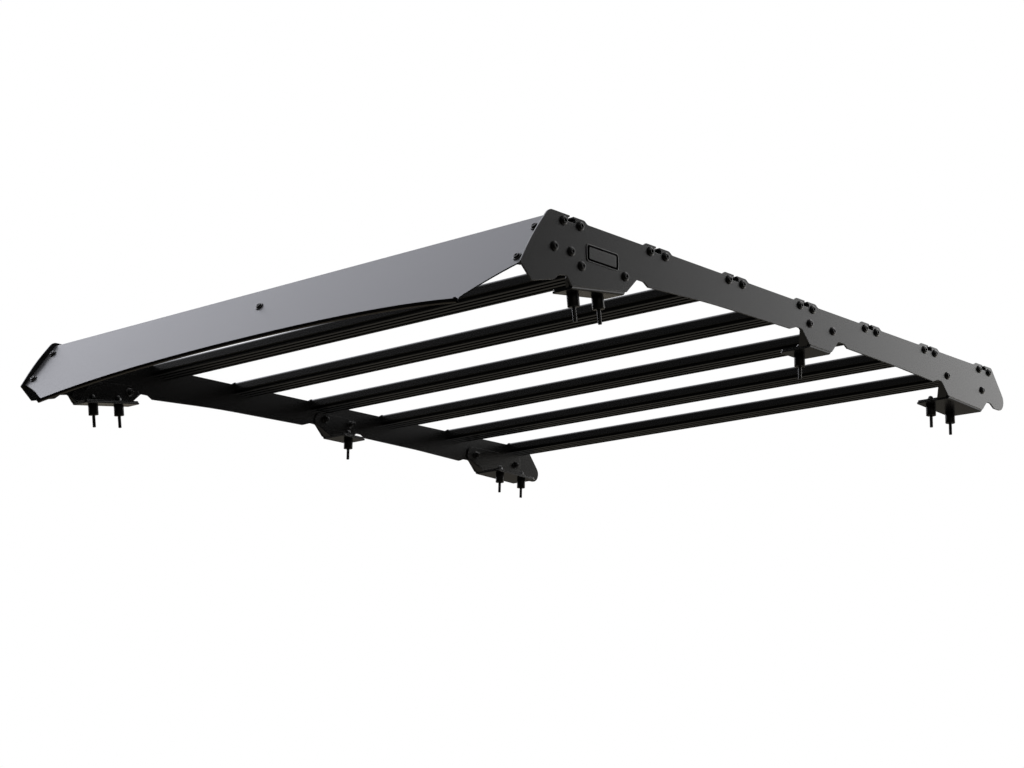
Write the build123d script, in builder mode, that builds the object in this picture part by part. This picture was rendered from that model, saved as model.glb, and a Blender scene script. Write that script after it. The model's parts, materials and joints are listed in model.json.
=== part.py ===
from build123d import *
import os
from math import atan2, cos, degrees, radians, sin, sqrt

os.makedirs("parts", exist_ok=True)

# ------------------------------------------------------------------
# Flat platform roof rack.  Millimetres, +Z up, front of the vehicle
# towards -Y.  Right and left are as seen from the front: the right-hand
# side plate is the one at +X.  The origin is in the middle of the rack's
# footprint, on the level the mounting studs reach down to.
# Heights below are given from the line of the slat bolts, lengths from
# the first slat, and moved to the origin with slat_y0 and bolt_z.
# ------------------------------------------------------------------

# overall
plate_out = 577.7          # outer face of a side plate, from the middle
plate_t = 3.0              # side plate sheet
plate_in = plate_out - plate_t
slat_count = 7
slat_pitch = 200.0
slat_y0 = -566.225       # first slat
bolt_z = 133.408          # line of the slat bolts above the stud tips
bolt_pair = 36.93          # spacing of the two bolts of a slat end

# slat section
slat_half = 28.5           # half width of the upper body
slat_top = 10.8
slat_shoulder = -5.6       # underside of the overhanging edges
slat_base_half = 23.3      # half width of the lower body
slat_base = -10.6
slot_mouth_half = 4.1      # tee slot, opening
slot_wide_half = 7.8       # tee slot, wide part
slot_lip = 8.0
slot_floor = 1.6

# wind deflector
sheet_t = 2.0
sheet_half = 574.2         # half width of the deflector sheet
defl_y, defl_z = -51.27, -4.85      # a point on its front face
defl_dy, defl_dz = -0.58187, -0.81328   # direction down the sheet
arch_mid = 113.8           # lower edge in the middle, down the sheet
arch_2, arch_4 = 20.4, 12.1     # how far its ends hang lower, square and fourth power
arch_half = 486.0
trim_half = 484.0
lug_x, lug_h = 478.6, 4.2      # lug in front of the sheet that ends the edge trim

# fasteners
m6 = 3.0                   # shank radius
hole_r = 3.2               # clearance holes
head_r = 7.0
head_h = 4.2

# feet: lowest line of the bent flange, its depth and its studs
spacer_h = 20.0
spacer_r = 9.0
spacer_bore = 3.2
stud_below = 41.8          # stud length under the flange
neck = 1.2                 # relief groove of the stud, just under the spacer
bracket_t = 3.0
bend_out = 4.9             # outer radius of the folds in the side plates
bracket_bend = 5.0         # and in the brackets that stand in them


def at(y, z):
    """A point of the side view, moved to the origin."""
    return (y + slat_y0, z + bolt_z)


def foot_frame(y_a, z_a, y_b, z_b):
    """Length, and direction along the foot's lower line."""
    d_y, d_z = y_b - y_a, z_b - z_a
    n = sqrt(d_y * d_y + d_z * d_z)
    return n, d_y / n, d_z / n


# name: (front y, z), (rear y, z) of the flange underside, inward depth,
#       stud distance from the middle, stud positions along y
feet = {
    "front": ((1.0, -95.3), (120.4, -79.0), 39.5, 554.7, (28.2, 84.2)),
    "middle": ((608.8, -65.2), (670.6, -65.8), 60.0, 535.9, (639.6,)),
    "rear": ((1063.4, -74.7), (1185.0, -79.8), 68.0, 526.6, (1087.2, 1157.2)),
}

# lower bolts that hold the folded brackets to the side plates
lower_bolts = [(-38.5, -42.0), (-2.0, -41.7), (21.0, -58.0), (120.0, -52.0),
               (609.0, -25.5), (678.0, -25.2), (1060.0, -33.5), (1189.0, -38.5)]

slat_ys = [slat_pitch * i for i in range(slat_count)]
slat_bolts = [(y + s * bolt_pair / 2, 0.0) for y in slat_ys for s in (-1, 1)]


def fold_profile(depth, r_out, t, up):
    """Section of a folded edge: x inwards from the outer face, y above the underside."""
    r_in = r_out - t
    q = sqrt(0.5)
    with BuildLine() as profile:
        Line((0, up), (0, r_out))
        ThreePointArc((0, r_out), (r_out - q * r_out, r_out - q * r_out), (r_out, 0))
        Line((r_out, 0), (depth, 0))
        Line((depth, 0), (depth, t))
        Line((depth, t), (r_out, t))
        ThreePointArc((r_out, t), (r_out - q * r_in, r_out - q * r_in), (t, r_out))
        Line((t, r_out), (t, up))
        Line((t, up), (0, up))
    return profile.line


# ------------------------------------------------------------------
# Side plate outline, seen from the right: (y, z, corner radius)
# The feet end where their folds begin.
# ------------------------------------------------------------------
lower = [
    (-110.3, -79.5, 2.5), (-85.8, -101.5, 3.0), (-38.5, -89.7, 7.0), (-28.0, -81.2, 8.0),
    (-11.3, -78.2, 6.0), (-1.1, -90.7, 1.0),
    (124.2, -74.0, 1.0), (149.0, -50.0, 8.0), (165.0, -50.0, 8.0), (175.8, -56.2, 3.0),
    (330.0, -48.0, 2500.0), (551.0, -45.2, 5.0), (571.0, -38.4, 10.0), (584.8, -38.8, 7.0),
    (605.8, -60.3, 1.0), (674.2, -60.9, 1.0), (694.6, -40.1, 8.0), (713.0, -40.2, 8.0),
    (722.6, -46.0, 3.0), (880.0, -48.2, 2500.0), (1009.0, -52.9, 4.0), (1023.0, -47.6, 8.0),
    (1038.8, -47.4, 8.0), (1060.4, -69.8, 1.0), (1188.0, -74.9, 1.0),
    (1205.8, -58.4, 8.0), (1219.0, -58.3, 8.0), (1233.0, -66.0, 5.0),
    (1291.8, -66.2, 19.0), (1230.3, 11.0, 9.0),
]
upper = []
for y in reversed(slat_ys):
    if y < slat_ys[-1]:
        upper += [(y + 35.6, 6.3, 7.0), (y + 28.4, 11.0, 7.0)]
    if y > 0:
        upper += [(y - 28.4, 11.0, 7.0), (y - 35.6, 6.3, 7.0)]
upper += [(-48.95, 11.0, 16.0), (-82.4, -31.8, 400.0)]      # the front edge bows outwards
outline = lower + upper

with BuildPart() as side_plate_right:
    with BuildSketch(Plane.YZ.offset(plate_in)):
        with BuildLine():
            FilletPolyline(*[at(y, z) for y, z, r in outline],
                           radius=[max(r, 0.01) for y, z, r in outline], close=True)
        make_face()
    extrude(amount=plate_t)
    # tee notches that leave the slats' slots open at the ends
    with BuildSketch(Plane.YZ.offset(plate_in)):
        for y in slat_ys:
            with Locations(at(y, (slot_lip + 14) / 2)):
                Rectangle(2 * slot_mouth_half, 14 - slot_lip)
            with Locations(at(y, (slot_lip + slot_floor) / 2)):
                Rectangle(2 * slot_wide_half, slot_lip - slot_floor)
    extrude(amount=plate_t, mode=Mode.SUBTRACT)
    # feet: flanges folded inwards from the lower edge
    for (a, b, depth, stud_x, stud_ys) in feet.values():
        n, c, s = foot_frame(*a, *b)
        y_a, z_a = at(*a)
        with BuildSketch(Plane(origin=(plate_out, y_a, z_a), x_dir=(-1, 0, 0), z_dir=(0, c, s))):
            with BuildLine():
                add(fold_profile(depth, bend_out, plate_t, bend_out + 4))
            make_face()
        extrude(amount=n)
        y_b, z_b = y_a + n * c - plate_t / 2 * s, z_a + n * s + plate_t / 2 * c
        corners = [side_plate_right.edges().sort_by_distance((plate_out - depth, y, z))[0]
                   for y, z in ((y_a - plate_t / 2 * s, z_a + plate_t / 2 * c), (y_b, z_b))]
        fillet(corners, radius=5.0)
        # stud holes, square to the flange
        for y in stud_ys:
            y_s, z_s = at(y, a[1] + (y - a[0]) * s / c)
            with BuildSketch(Plane(origin=(stud_x, y_s, z_s), x_dir=(1, 0, 0), z_dir=(0, -s, c))):
                Circle(hole_r)
            extrude(amount=10, both=True, mode=Mode.SUBTRACT)
    # bolt holes
    with BuildSketch(Plane.YZ.offset(plate_in)):
        with Locations(*[at(y, z) for y, z in slat_bolts + lower_bolts]):
            Circle(hole_r)
    extrude(amount=plate_t, mode=Mode.SUBTRACT)
side_plate_right.part.label = "side_plate_right"
export_step(side_plate_right.part, "parts/side_plate_right.step")

with BuildPart() as side_plate_left:
    mirror(side_plate_right.part, about=Plane.YZ)
side_plate_left.part.label = "side_plate_left"
export_step(side_plate_left.part, "parts/side_plate_left.step")

# ------------------------------------------------------------------
# Slats: extruded section with a tee slot on top, hollow inside, with
# two screw channels that take the end bolts
# ------------------------------------------------------------------
boss_r = 6.0
section = [
    (slat_half, slat_shoulder, 1.2), (slat_half, slat_top, 5.0),
    (-slat_half, slat_top, 5.0), (-slat_half, slat_shoulder, 1.2),
    (-slat_base_half, slat_shoulder, 0.8), (-slat_base_half, slat_base, 1.5),
    (slat_base_half, slat_base, 1.5), (slat_base_half, slat_shoulder, 0.8),
]
for i, y in enumerate(slat_ys, start=1):
    with BuildPart() as slat:
        with BuildSketch(Plane(origin=(-plate_in, *at(y, 0)), x_dir=(0, 1, 0), z_dir=(1, 0, 0))):
            with BuildLine():
                FilletPolyline(*[(u, v) for u, v, r in section],
                               radius=[r for u, v, r in section], close=True)
            make_face()
            # grooves along the underside and fine lines along the top
            with Locations((-13.3, slat_base), (0, slat_base), (13.3, slat_base)):
                Rectangle(6.6, 6.0, mode=Mode.SUBTRACT)
            with Locations(*[(q * u, slat_top) for q in (-1, 1) for u in (12.5, 16.5, 20.5)]):
                Rectangle(1.0, 1.2, mode=Mode.SUBTRACT)
            # inside
            with BuildLine():
                Polyline((-26.5, -3.6), (-26.5, 5.6), (-23.5, 8.6), (-9.8, 8.6), (-9.8, -0.2),
                         (9.8, -0.2), (9.8, 8.6), (23.5, 8.6), (26.5, 5.6), (26.5, -3.6),
                         (21.3, -3.6), (21.3, -5.6), (-21.3, -5.6), (-21.3, -3.6), close=True)
            make_face(mode=Mode.SUBTRACT)
            with Locations((-bolt_pair / 2, 0), (bolt_pair / 2, 0)):
                Circle(boss_r)
            with Locations((-bolt_pair / 2, 0), (bolt_pair / 2, 0)):
                Circle(m6 + 0.1, mode=Mode.SUBTRACT)
            # tee slot
            with Locations((0, (slot_lip + slat_top) / 2)):
                Rectangle(2 * slot_mouth_half, slat_top - slot_lip, mode=Mode.SUBTRACT)
            with Locations((0, (slot_lip + slot_floor) / 2)):
                Rectangle(2 * slot_wide_half, slot_lip - slot_floor, mode=Mode.SUBTRACT)
        extrude(amount=2 * plate_in)
        if i == 1:
            # holes for the screws of the middle deflector bracket
            with BuildSketch(Plane.XY.offset(bolt_z + slat_base - 1)):
                with Locations((-12, slat_y0), (12, slat_y0)):
                    Circle(2.6)
            extrude(amount=7, mode=Mode.SUBTRACT)
    slat.part.label = f"slat_{i}"
    export_step(slat.part, f"parts/slat_{i}.step")

# ------------------------------------------------------------------
# Wind deflector: inclined sheet with an arched lower edge, cut-out
# lower corners and a lip folded back along the top
# ------------------------------------------------------------------
nrm_y, nrm_z = -defl_dz, defl_dy      # square to the sheet, towards the rear


def sheet_point(s, off):
    """Side-view point a distance s down the sheet and off behind its front face."""
    return (defl_y + defl_dy * s + nrm_y * off, defl_z + defl_dz * s + nrm_z * off)


def sheet_plane(off):
    """Plane parallel to the sheet: x along the rack's width, y down the sheet."""
    y_o, z_o = at(*sheet_point(0, off))
    return Plane(origin=(0, y_o, z_o), x_dir=(1, 0, 0), z_dir=(0, nrm_y, nrm_z))


def arch_at(x):
    """Distance down the sheet of its arched lower edge."""
    u = x / arch_half
    return arch_mid + arch_2 * u * u + arch_4 * u ** 4


arch_xs = [arch_half * k / 10 for k in range(-10, 11)]
arch_pts = [(x, arch_at(x)) for x in arch_xs]

defl_bolts = [(-559.6, 12.3), (-559.6, 76.2), (0.0, 33.0), (559.6, 12.3), (559.6, 76.2)]
lip_y, lip_z = sheet_point(-12.2, 0)
lip_inner_s = (lip_z - sheet_t - defl_z - nrm_z * sheet_t) / defl_dz

with BuildPart() as wind_deflector:
    # folded section over the whole width
    with BuildSketch(Plane.YZ.offset(-sheet_half)):
        with BuildLine():
            FilletPolyline(at(*sheet_point(160, 0)), at(lip_y, lip_z), at(lip_y + 13.5, lip_z),
                           at(lip_y + 13.5, lip_z - sheet_t), at(*sheet_point(lip_inner_s, sheet_t)),
                           at(*sheet_point(160, sheet_t)),
                           radius=[0.01, 3.0, 0.6, 0.6, 1.0, 0.01], close=True)
        make_face()
    extrude(amount=2 * sheet_half)
    # arched lower edge and cut-out corners
    with BuildSketch(sheet_plane(-5)):
        with BuildLine():
            ThreePointArc((sheet_half, 88.6), (530.0, 110.2), (arch_half, 138.5))
            Line((arch_half, 138.5), arch_pts[-1])
            Spline(*arch_pts)
            Line(arch_pts[0], (-arch_half, 138.5))
            ThreePointArc((-arch_half, 138.5), (-530.0, 110.2), (-sheet_half, 88.6))
            Polyline((-sheet_half, 88.6), (-600, 84), (-600, 200), (600, 200), (600, 84), (sheet_half, 88.6))
        make_face()
    extrude(amount=12, mode=Mode.SUBTRACT)
    with BuildSketch(sheet_plane(0)):
        with Locations(*defl_bolts):
            Circle(hole_r)
    extrude(amount=sheet_t, mode=Mode.SUBTRACT)
wind_deflector.part.label = "wind_deflector"
export_step(wind_deflector.part, "parts/wind_deflector.step")

# edge trim pressed on along the arched edge, with a small lug at each end
with BuildPart() as deflector_edge_trim:
    with BuildSketch(sheet_plane(-1.6)):
        with BuildLine():
            Spline(*[(x, z - 4) for x, z in arch_pts])
            Line((arch_half, arch_pts[-1][1] - 4), (arch_half, arch_pts[-1][1] + 2.4))
            Spline(*[(x, z + 2.4) for x, z in arch_pts])
            Line((-arch_half, arch_pts[0][1] - 4), (-arch_half, arch_pts[0][1] + 2.4))
        make_face()
    extrude(amount=sheet_t + 3.2)
    with BuildSketch(sheet_plane(-2.6)):
        with Locations(((trim_half + 520) / 2, 140), (-(trim_half + 520) / 2, 140)):
            Rectangle(520 - trim_half, 60)
    extrude(amount=sheet_t + 5.2, mode=Mode.SUBTRACT)
    with BuildSketch(sheet_plane(-lug_h)):
        for k in (-1, 1):
            with BuildLine():
                Polyline((k * lug_x, arch_at(lug_x) - 4), (k * trim_half, arch_at(trim_half) - 4),
                         (k * trim_half, arch_at(trim_half) + 2.4), (k * lug_x, arch_at(lug_x) + 2.4),
                         (k * lug_x, arch_at(lug_x) - 4))
            make_face()
    extrude(amount=lug_h)
    # the slot that the sheet stands in
    with BuildSketch(sheet_plane(0)):
        with BuildLine():
            Polyline(arch_pts[-1], (arch_half, 60), (-arch_half, 60), arch_pts[0])
            Spline(*arch_pts)
        make_face()
    extrude(amount=sheet_t, mode=Mode.SUBTRACT)
deflector_edge_trim.part.label = "deflector_edge_trim"
export_step(deflector_edge_trim.part, "parts/deflector_edge_trim.step")

# folded brackets between deflector and side plates
side_leg = [
    (*sheet_point(5, sheet_t + 5), 1.0), (*sheet_point(86, sheet_t + 5), 1.0), (-86.0, -77.5, 4.0),
    (-34.0, -54.5, 10.0), (8.0, -52.0, 8.0), (8.0, -31.5, 8.0), (-33.0, -29.0, 10.0),
    (-40.5, -14.5, 5.0),
]
with BuildPart() as deflector_bracket_right:
    with BuildSketch(Plane.YZ.offset(plate_in - bracket_t)):
        with BuildLine():
            FilletPolyline(*[at(y, z) for y, z, r in side_leg],
                           radius=[r for y, z, r in side_leg], close=True)
        make_face()
    extrude(amount=bracket_t)
    # leg behind the sheet
    with BuildSketch(Plane(origin=(plate_in, *at(*sheet_point(3, sheet_t))), x_dir=(-1, 0, 0),
                           z_dir=(0, defl_dy, defl_dz))):
        with BuildLine():
            add(fold_profile(28.7, bracket_bend, bracket_t, bracket_bend + 4))
        make_face()
    extrude(amount=85)
    face_corners = [deflector_bracket_right.edges().sort_by_distance((546, *at(*sheet_point(s, sheet_t + 1.5))))[0]
                    for s in (3, 88)]
    fillet(face_corners, radius=6)
    with BuildSketch(Plane.YZ.offset(plate_in - bracket_t)):
        with Locations(*[at(y, z) for y, z in lower_bolts[:2]]):
            Circle(hole_r)
    extrude(amount=bracket_t, mode=Mode.SUBTRACT)
    with BuildSketch(sheet_plane(sheet_t)):
        with Locations(*defl_bolts[3:]):
            Circle(hole_r)
    extrude(amount=bracket_t, mode=Mode.SUBTRACT)
deflector_bracket_right.part.label = "deflector_bracket_right"
export_step(deflector_bracket_right.part, "parts/deflector_bracket_right.step")

with BuildPart() as deflector_bracket_left:
    mirror(deflector_bracket_right.part, about=Plane.YZ)
deflector_bracket_left.part.label = "deflector_bracket_left"
export_step(deflector_bracket_left.part, "parts/deflector_bracket_left.step")

# bent bracket between the deflector's middle and the first slat
s_out = (slat_base - defl_z - nrm_z * sheet_t) / defl_dz
s_in = (slat_base - 2.5 - defl_z - nrm_z * (sheet_t + 2.5)) / defl_dz
with BuildPart() as deflector_centre_bracket:
    with BuildSketch(Plane.YZ.offset(-22)):
        with BuildLine():
            Polyline(at(*sheet_point(52, sheet_t)), at(*sheet_point(s_out, sheet_t)),
                     at(15, slat_base), at(15, slat_base - 2.5),
                     at(*sheet_point(s_in, sheet_t + 2.5)), at(*sheet_point(52, sheet_t + 2.5)),
                     close=True)
        make_face()
    extrude(amount=44)
    y_o, z_o = at(*sheet_point(s_out, sheet_t))
    y_i, z_i = at(*sheet_point(s_in, sheet_t + 2.5))
    fillet(deflector_centre_bracket.edges().sort_by_distance((0, y_o, z_o))[0], radius=4.0)
    fillet(deflector_centre_bracket.edges().sort_by_distance((0, y_i, z_i))[0], radius=1.5)
    fillet(deflector_centre_bracket.edges().filter_by(Axis.Z).group_by(Axis.Y)[-1], radius=6)
    with BuildSketch(sheet_plane(sheet_t)):
        with Locations((0, 33.0)):
            Circle(hole_r)
    extrude(amount=2.5, mode=Mode.SUBTRACT)
    with BuildSketch(Plane.XY.offset(bolt_z + slat_base - 3)):
        with Locations((-12, slat_y0), (12, slat_y0)):
            Circle(2.6)
    extrude(amount=4, mode=Mode.SUBTRACT)
deflector_centre_bracket.part.label = "deflector_centre_bracket"
export_step(deflector_centre_bracket.part, "parts/deflector_centre_bracket.step")

# ------------------------------------------------------------------
# Foot brackets: inner folded angles on the flanges, each with a
# triangular gusset across its front edge
# ------------------------------------------------------------------
# name: side leg from front foot corner round the top to the rear foot corner,
#       gusset height along the front edge and width on the flange, bolts
#       of this bracket
legs = {
    "front": ([(-8.6, -81.6, 2.0), (1.0, -66.0, 10.0), (10.0, -47.5, 10.0), (128.0, -38.5, 10.0),
               (147.0, -51.5, 8.0)], 15.5, 9.0, lower_bolts[2:4]),
    "middle": ([(581.5, -35.0, 4.0), (585.0, -13.5, 12.0), (694.0, -13.5, 12.0),
                (696.5, -41.5, 5.0)], 32.0, 20.0, lower_bolts[4:6]),
    "rear": ([(1031.5, -40.0, 6.0), (1037.0, -17.0, 14.0), (1207.0, -17.0, 12.0),
              (1204.0, -59.5, 5.0)], 36.0, 22.0, lower_bolts[6:8]),
}
for name, (leg, gusset_h, gusset_w, bolts) in legs.items():
    a, b, depth, stud_x, stud_ys = feet[name]
    n, c, s = foot_frame(*a, *b)
    # lower corners of the side leg, where its fold begins
    low_a = (leg[0][0] + 0.86 * (a[0] - leg[0][0]), 0)
    low_b = (leg[-1][0] + 0.86 * (b[0] - leg[-1][0]), 0)
    rise = plate_t + bracket_bend
    low_a, low_b = [(y, a[1] + (y - a[0]) * s / c + rise / c) for y, z in (low_a, low_b)]
    ring = [(*low_a, 1.0)] + leg + [(*low_b, 1.0)]
    reach = depth - plate_t - 2.0
    fold_n = n - 2.0
    y_f, z_f = at(a[0] + c - s * plate_t, a[1] + s + c * plate_t)
    with BuildPart() as foot_bracket:
        with BuildSketch(Plane.YZ.offset(plate_in - bracket_t)):
            with BuildLine():
                FilletPolyline(*[at(y, z) for y, z, r in ring],
                               radius=[r for y, z, r in ring], close=True)
            make_face()
        extrude(amount=bracket_t)
        # leg on the flange
        with BuildSketch(Plane(origin=(plate_in, y_f, z_f), x_dir=(-1, 0, 0), z_dir=(0, c, s))):
            with BuildLine():
                add(fold_profile(reach, bracket_bend, bracket_t, bracket_bend + 3))
            make_face()
        extrude(amount=fold_n)
        # gusset, square to the side leg along the front edge
        y_u, z_u = at(leg[0][0], leg[0][1])
        e_y, e_z = y_u - y_f, z_u - z_f
        e_n = sqrt(e_y * e_y + e_z * e_z)
        e_y, e_z = e_y / e_n, e_z / e_n
        with BuildSketch(Plane(origin=(plate_in, y_f, z_f), x_dir=(-1, 0, 0), z_dir=(0, e_z, -e_y))):
            with BuildLine():
                Polyline((1.2, 4.6), (4.6, 1.2), (gusset_w, 1.2), (bracket_t, gusset_h),
                         (1.2, gusset_h), close=True)
            make_face()
        extrude(amount=bracket_t)
        y_e, z_e = y_f + fold_n * c - bracket_t / 2 * s, z_f + fold_n * s + bracket_t / 2 * c
        corners = [foot_bracket.edges().sort_by_distance((plate_in - reach, y, z))[0]
                   for y, z in ((y_f - bracket_t / 2 * s, z_f + bracket_t / 2 * c), (y_e, z_e))]
        fillet(corners, radius=4.0)
        with BuildSketch(Plane.YZ.offset(plate_in - bracket_t)):
            with Locations(*[at(y, z) for y, z in bolts]):
                Circle(hole_r)
        extrude(amount=bracket_t, mode=Mode.SUBTRACT)
        for y in stud_ys:
            y_s, z_s = at(y, a[1] + (y - a[0]) * s / c)
            with BuildSketch(Plane(origin=(stud_x, y_s, z_s), x_dir=(1, 0, 0), z_dir=(0, -s, c))):
                Circle(hole_r)
            extrude(amount=12, mode=Mode.SUBTRACT)
    foot_bracket.part.label = f"foot_bracket_{name}_right"
    export_step(foot_bracket.part, f"parts/foot_bracket_{name}_right.step")
    with BuildPart() as foot_bracket_l:
        mirror(foot_bracket.part, about=Plane.YZ)
    foot_bracket_l.part.label = f"foot_bracket_{name}_left"
    export_step(foot_bracket_l.part, f"parts/foot_bracket_{name}_left.step")

# ------------------------------------------------------------------
# Spacers and mounting studs
# ------------------------------------------------------------------
stud_places = []
for a, b, depth, stud_x, stud_ys in feet.values():
    n, c, s = foot_frame(*a, *b)
    for y in stud_ys:
        y_s, z_s = at(y, a[1] + (y - a[0]) * s / c)
        stud_places.append((stud_x, y_s, z_s, s, c))

with BuildPart() as foot_spacers_right:
    for x, y, z, s, c in stud_places:
        with BuildSketch(Plane(origin=(x, y, z), x_dir=(1, 0, 0), z_dir=(0, s, -c))):
            Circle(spacer_r)
            Circle(spacer_bore, mode=Mode.SUBTRACT)
        extrude(amount=spacer_h)
    chamfer(foot_spacers_right.edges().filter_by(GeomType.CIRCLE)
            .filter_by(lambda e: e.radius > spacer_r - 0.1), length=0.8)
foot_spacers_right.part.label = "foot_spacers_right"
export_step(foot_spacers_right.part, "parts/foot_spacers_right.step")

with BuildPart() as foot_spacers_left:
    mirror(foot_spacers_right.part, about=Plane.YZ)
foot_spacers_left.part.label = "foot_spacers_left"
export_step(foot_spacers_left.part, "parts/foot_spacers_left.step")

stack = plate_t + bracket_t
# free threaded end, relief groove, shank, washer and domed cap nut; the
# flange's underside is at Z = 0
with BuildPart() as one_stud:
    with BuildSketch(Plane.XZ):
        with BuildLine():
            Polyline((0, stack + 11.4), (0, -stud_below), (m6, -stud_below), (m6, -spacer_h - neck),
                     (m6 - 0.5, -spacer_h - neck), (m6 - 0.5, -spacer_h), (m6, -spacer_h), (m6, stack),
                     (7.2, stack), (7.2, stack + 1.6), (4.75, stack + 1.6), (4.75, stack + 6.65))
            q = 4.75 * sqrt(0.5)
            ThreePointArc((4.75, stack + 6.65), (q, stack + 6.65 + q), (0, stack + 11.4))
        make_face()
    revolve(axis=Axis.Z)
    with BuildSketch(Plane.XY.offset(stack + 1.6)):
        RegularPolygon(5.77, 6)
    extrude(amount=5.0)

with BuildPart() as mounting_studs_right:
    with Locations(*[Plane(origin=(x, y, z), x_dir=(1, 0, 0), z_dir=(0, -s, c)).location
                     for x, y, z, s, c in stud_places]):
        add(one_stud.part)
mounting_studs_right.part.label = "mounting_studs_right"
export_step(mounting_studs_right.part, "parts/mounting_studs_right.step")

with BuildPart() as mounting_studs_left:
    mirror(mounting_studs_right.part, about=Plane.YZ)
mounting_studs_left.part.label = "mounting_studs_left"
export_step(mounting_studs_left.part, "parts/mounting_studs_left.step")

# ------------------------------------------------------------------
# Bolts: round heads with a hexagon socket
# ------------------------------------------------------------------


def head_profile(reach):
    """Half section of a button-head bolt: x radius, y height above the seat."""
    with BuildLine() as profile:
        Line((0, head_h), (3.2, head_h))
        ThreePointArc((3.2, head_h), (5.9, 3.0), (head_r, 0.6))
        Line((head_r, 0.6), (head_r, 0))
        Line((head_r, 0), (m6, 0))
        Line((m6, 0), (m6, -reach + 0.6))
        Line((m6, -reach + 0.6), (m6 - 0.6, -reach))
        Line((m6 - 0.6, -reach), (0, -reach))
        Line((0, -reach), (0, head_h))
    return profile.line


def bolt(reach):
    """One bolt, head towards +Z, seat at Z = 0."""
    with BuildPart() as one:
        with BuildSketch(Plane.XZ):
            with BuildLine():
                add(head_profile(reach))
            make_face()
        revolve(axis=Axis.Z)
        with BuildSketch(Plane.XY.offset(head_h)):
            RegularPolygon(2.0, 6, major_radius=False)
        extrude(amount=-2.4, mode=Mode.SUBTRACT)
    return one.part


slat_bolt = bolt(22.0)
with BuildPart() as slat_bolts_right:
    with Locations(*[Plane(origin=(plate_out, *at(y, z)), x_dir=(0, 1, 0), z_dir=(1, 0, 0)).location
                     for y, z in slat_bolts]):
        add(slat_bolt)
slat_bolts_right.part.label = "slat_bolts_right"
export_step(slat_bolts_right.part, "parts/slat_bolts_right.step")

with BuildPart() as slat_bolts_left:
    mirror(slat_bolts_right.part, about=Plane.YZ)
slat_bolts_left.part.label = "slat_bolts_left"
export_step(slat_bolts_left.part, "parts/slat_bolts_left.step")

low_bolt = bolt(plate_t + bracket_t + 9.5)
with BuildPart() as bracket_bolts_right:
    with Locations(*[Plane(origin=(plate_out, *at(y, z)), x_dir=(0, 1, 0), z_dir=(1, 0, 0)).location
                     for y, z in lower_bolts]):
        add(low_bolt)
bracket_bolts_right.part.label = "bracket_bolts_right"
export_step(bracket_bolts_right.part, "parts/bracket_bolts_right.step")

with BuildPart() as bracket_bolts_left:
    mirror(bracket_bolts_right.part, about=Plane.YZ)
bracket_bolts_left.part.label = "bracket_bolts_left"
export_step(bracket_bolts_left.part, "parts/bracket_bolts_left.step")

# flanged hexagon nuts behind the brackets
with BuildPart() as bracket_nuts_right:
    for y, z in lower_bolts:
        seat = Plane(origin=(plate_in - bracket_t, *at(y, z)), x_dir=(0, 1, 0), z_dir=(-1, 0, 0))
        with BuildSketch(seat):
            Circle(7.8)
            Circle(m6 + 0.05, mode=Mode.SUBTRACT)
        extrude(amount=1.4)
        with BuildSketch(seat.offset(1.4)):
            RegularPolygon(6.35, 6)
            Circle(m6 + 0.05, mode=Mode.SUBTRACT)
        extrude(amount=5.2)
bracket_nuts_right.part.label = "bracket_nuts_right"
export_step(bracket_nuts_right.part, "parts/bracket_nuts_right.step")

with BuildPart() as bracket_nuts_left:
    mirror(bracket_nuts_right.part, about=Plane.YZ)
bracket_nuts_left.part.label = "bracket_nuts_left"
export_step(bracket_nuts_left.part, "parts/bracket_nuts_left.step")

front_seat = sheet_plane(0)
sheet_bolt = bolt(13.0)
with BuildPart() as deflector_bolts:
    with Locations(*[Plane(origin=front_seat.from_local_coords((x, s, 0)), x_dir=(1, 0, 0),
                           z_dir=(0, -nrm_y, -nrm_z)).location for x, s in defl_bolts]):
        add(sheet_bolt)
deflector_bolts.part.label = "deflector_bolts"
export_step(deflector_bolts.part, "parts/deflector_bolts.step")

with BuildPart() as deflector_nuts:
    for x, s in defl_bolts:
        back = sheet_t + (2.5 if x == 0 else bracket_t)
        y_n, z_n = at(*sheet_point(s, back))
        seat = Plane(origin=(x, y_n, z_n), x_dir=(1, 0, 0), z_dir=(0, nrm_y, nrm_z))
        with BuildSketch(seat):
            Circle(7.0)
            Circle(m6 + 0.05, mode=Mode.SUBTRACT)
        extrude(amount=1.4)
        with BuildSketch(seat.offset(1.4)):
            RegularPolygon(5.77, 6)
            Circle(m6 + 0.05, mode=Mode.SUBTRACT)
        extrude(amount=4.6)
deflector_nuts.part.label = "deflector_nuts"
export_step(deflector_nuts.part, "parts/deflector_nuts.step")

with BuildPart() as centre_bracket_screws:
    for x in (-12, 12):
        under = Plane(origin=(x, slat_y0, bolt_z + slat_base - 2.5), x_dir=(1, 0, 0), z_dir=(0, 0, -1))
        with BuildSketch(under):
            Circle(4.6)
        extrude(amount=2.8)
        with BuildSketch(under):
            Circle(2.5)
        extrude(amount=-7.0)
    chamfer(centre_bracket_screws.faces().sort_by(Axis.Z)[:2].edges(), length=0.9)
centre_bracket_screws.part.label = "centre_bracket_screws"
export_step(centre_bracket_screws.part, "parts/centre_bracket_screws.step")

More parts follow.
